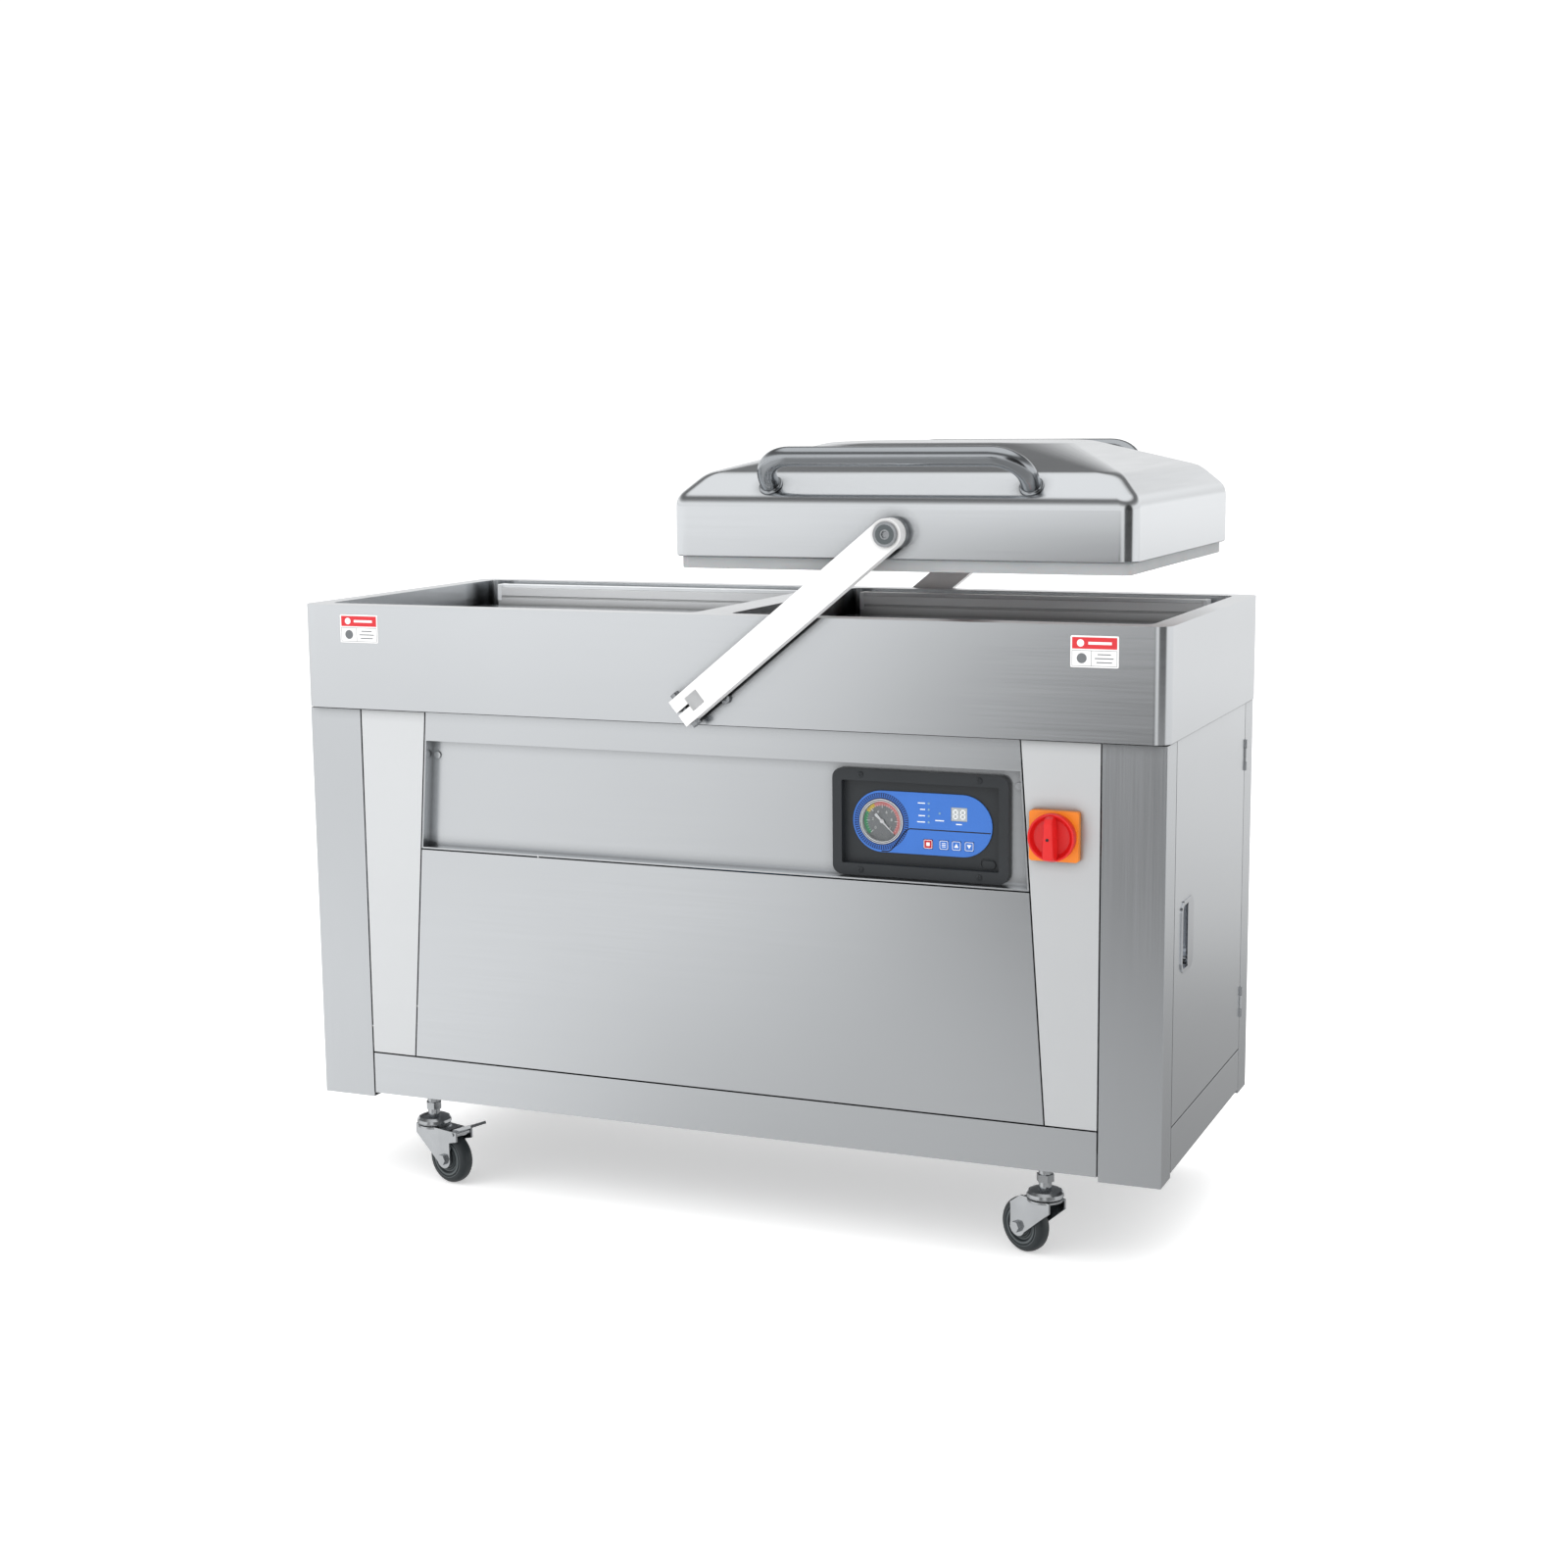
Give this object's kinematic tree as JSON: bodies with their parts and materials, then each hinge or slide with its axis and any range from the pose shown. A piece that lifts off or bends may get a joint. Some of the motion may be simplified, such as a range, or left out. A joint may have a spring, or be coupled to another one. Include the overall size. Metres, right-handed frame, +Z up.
{
  "type": "vacuum packing machine",
  "caption": "Floor-standing double-chamber vacuum packing machine in stainless steel with a swing-over lid, recessed control panel, rotary main switch and swivel casters.",
  "frame": {"origin": "on the floor, under the centre of the machine", "axes": "+Z up, +X to the right of the operator, who stands at -Y and faces +Y"},
  "size_m": [1.26, 0.598, 1.066],
  "materials": {
    "satin_steel": "satin brushed stainless",
    "dark_satin_steel": "satin brushed stainless",
    "light_satin_steel": "satin brushed stainless",
    "painted_frame": "satin paint",
    "polished_steel": "polished stainless",
    "handle_steel": "polished dark stainless",
    "bright_steel": "turned steel",
    "chrome_trim": "chromed",
    "black_plastic": "fine texture",
    "blue_film": "printed film",
    "gauge_white": "gloss",
    "clear_lens": "clear",
    "display_window": "gloss",
    "lamp_lens": "gloss",
    "stop_key": "film",
    "blue_keys": "film",
    "switch_yellow": "moulded",
    "switch_red": "moulded",
    "label_film": "printed film",
    "gasket_silicone": "silicone",
    "pad_silicone": "silicone",
    "bar_aluminium": "anodised",
    "pump_paint": "painted casting",
    "motor_paint": "painted casting",
    "pipe_metal": "satin",
    "zinc_plate": "zinc plated",
    "wheel_rubber": "grey rubber"
  },
  "bodies": {
    "cabinet": {"base_frame": "painted_frame", "corner_posts": "dark_satin_steel", "kick_panels": "satin_steel", "slant_panels": "light_satin_steel", "recess_panel": "satin_steel", "front_panel": "satin_steel", "rear_panel": "satin_steel", "side_panel_left": "satin_steel", "door_hinges": "bright_steel", "tub": "satin_steel", "control_bezel": "black_plastic", "control_housing": "black_plastic", "membrane_panel": "blue_film", "gauge_case": "gauge_white", "gauge_lens": "clear_lens", "display": "display_window", "status_lamps": "lamp_lens", "switch_plate": "switch_yellow", "switch_body": "painted_frame", "rim_labels": "label_film", "shaft_bearings": "bright_steel", "table_plates": "satin_steel", "bar_guides": "bright_steel", "vacuum_pump": "pump_paint", "pump_motor": "motor_paint", "vacuum_pipes": "pipe_metal", "electrics_box": "painted_frame", "cable_gland": "black_plastic", "caster_mounts": "zinc_plate"},
    "door": {"door_right": "satin_steel", "door_pull": "chrome_trim"},
    "needle": {"gauge_needle": "gauge_white"},
    "stop_button": {"button_stop": "stop_key"},
    "set_button": {"button_set": "blue_keys"},
    "up_button": {"button_up": "blue_keys"},
    "down_button": {"button_down": "blue_keys"},
    "main_switch": {"switch_knob": "switch_red"},
    "swing": {"swing_shaft": "bright_steel", "arm_front": "polished_steel", "arm_rear": "polished_steel", "arm_screws": "bright_steel"},
    "lid": {"lid_shell": "satin_steel", "lid_gasket": "gasket_silicone", "lid_handles": "handle_steel", "pivot_pins": "bright_steel", "press_pads": "pad_silicone"},
    "seal_left_front": {"bar_left_front": "bar_aluminium"},
    "seal_left_rear": {"bar_left_rear": "bar_aluminium"},
    "seal_right_front": {"bar_right_front": "bar_aluminium"},
    "seal_right_rear": {"bar_right_rear": "bar_aluminium"},
    "caster_front_left": {"fork_front_left": "zinc_plate"},
    "roller_front_left": {"wheel_front_left": "wheel_rubber"},
    "brake_front_left": {"pedal_front_left": "zinc_plate"},
    "caster_front_right": {"fork_front_right": "zinc_plate"},
    "roller_front_right": {"wheel_front_right": "wheel_rubber"},
    "caster_rear_left": {"fork_rear_left": "zinc_plate"},
    "roller_rear_left": {"wheel_rear_left": "wheel_rubber"},
    "caster_rear_right": {"fork_rear_right": "zinc_plate"},
    "roller_rear_right": {"wheel_rear_right": "wheel_rubber"},
    "brake_rear_right": {"pedal_rear_right": "zinc_plate"}
  },
  "joints": [
    {"name": "arm_swing", "type": "hinge", "parent": "cabinet", "child": "swing", "pos_m": [0, 0, 0.7325], "axis": [0, -1, 0], "range_deg": [-11.9, 113.2]},
    {"name": "lid_tilt", "type": "hinge", "parent": "swing", "child": "lid", "pos_m": [0.26992, 0, 0.95374], "axis": [0, -1, 0], "range_deg": [-113.2, 11.9]},
    {"name": "door_swing", "type": "hinge", "parent": "cabinet", "child": "door", "pos_m": [0.627, 0.206, 0.44], "axis": [0, 0, 1], "range_deg": [0, 105]},
    {"name": "switch_turn", "type": "hinge", "parent": "cabinet", "child": "main_switch", "pos_m": [0.4845, -0.275, 0.574], "axis": [0, 1, 0], "range_deg": [0, 90]},
    {"name": "needle_turn", "type": "hinge", "parent": "cabinet", "child": "needle", "pos_m": [0.2405, -0.231, 0.574], "axis": [0, -1, 0], "range_deg": [0, 270], "stiffness_Nm_per_rad": 0.0003},
    {"name": "press_stop", "type": "slide", "parent": "cabinet", "child": "stop_button", "axis": [0, 1, 0], "range_m": [0, 0.0008], "stiffness_N_per_m": 600, "springref_m": -0.0005},
    {"name": "press_set", "type": "slide", "parent": "cabinet", "child": "set_button", "axis": [0, 1, 0], "range_m": [0, 0.0008], "stiffness_N_per_m": 600, "springref_m": -0.0005},
    {"name": "press_up", "type": "slide", "parent": "cabinet", "child": "up_button", "axis": [0, 1, 0], "range_m": [0, 0.0008], "stiffness_N_per_m": 600, "springref_m": -0.0005},
    {"name": "press_down", "type": "slide", "parent": "cabinet", "child": "down_button", "axis": [0, 1, 0], "range_m": [0, 0.0008], "stiffness_N_per_m": 600, "springref_m": -0.0005},
    {"name": "lift_left_front", "type": "slide", "parent": "cabinet", "child": "seal_left_front", "axis": [0, 0, 1], "range_m": [0, 0.006]},
    {"name": "lift_left_rear", "type": "slide", "parent": "cabinet", "child": "seal_left_rear", "axis": [0, 0, 1], "range_m": [0, 0.006]},
    {"name": "lift_right_front", "type": "slide", "parent": "cabinet", "child": "seal_right_front", "axis": [0, 0, 1], "range_m": [0, 0.006]},
    {"name": "lift_right_rear", "type": "slide", "parent": "cabinet", "child": "seal_right_rear", "axis": [0, 0, 1], "range_m": [0, 0.006]},
    {"name": "swivel_front_left", "type": "hinge", "parent": "cabinet", "child": "caster_front_left", "pos_m": [-0.4644, -0.222, 0.08], "axis": [0, 0, 1], "continuous": true},
    {"name": "spin_front_left", "type": "hinge", "parent": "caster_front_left", "child": "roller_front_left", "pos_m": [-0.43093, -0.23223, 0.0375], "axis": [0.2924, 0.9563, 0], "continuous": true},
    {"name": "brake_front_left", "type": "hinge", "parent": "caster_front_left", "child": "brake_front_left", "pos_m": [-0.41085, -0.23837, 0.078], "axis": [0.2924, 0.9563, 0], "range_deg": [0, 18]},
    {"name": "swivel_front_right", "type": "hinge", "parent": "cabinet", "child": "caster_front_right", "pos_m": [0.4644, -0.222, 0.08], "axis": [0, 0, 1], "continuous": true},
    {"name": "spin_front_right", "type": "hinge", "parent": "caster_front_right", "child": "roller_front_right", "pos_m": [0.43322, -0.20611, 0.0375], "axis": [-0.454, -0.891, 0], "continuous": true},
    {"name": "swivel_rear_left", "type": "hinge", "parent": "cabinet", "child": "caster_rear_left", "pos_m": [-0.4644, 0.222, 0.08], "axis": [0, 0, 1], "continuous": true},
    {"name": "spin_rear_left", "type": "hinge", "parent": "caster_rear_left", "child": "roller_rear_left", "pos_m": [-0.49729, 0.23397, 0.0375], "axis": [-0.342, -0.9397, 0], "continuous": true},
    {"name": "swivel_rear_right", "type": "hinge", "parent": "cabinet", "child": "caster_rear_right", "pos_m": [0.4644, 0.222, 0.08], "axis": [0, 0, 1], "continuous": true},
    {"name": "spin_rear_right", "type": "hinge", "parent": "caster_rear_right", "child": "roller_rear_right", "pos_m": [0.49612, 0.20721, 0.0375], "axis": [0.4226, 0.9063, 0], "continuous": true},
    {"name": "brake_rear_right", "type": "hinge", "parent": "caster_rear_right", "child": "brake_rear_right", "pos_m": [0.51515, 0.19833, 0.078], "axis": [0.4226, 0.9063, 0], "range_deg": [0, 18]}
  ],
  "couplings": [
    {"joint": "lid_tilt", "follows": "arm_swing", "ratio": -1}
  ]
}
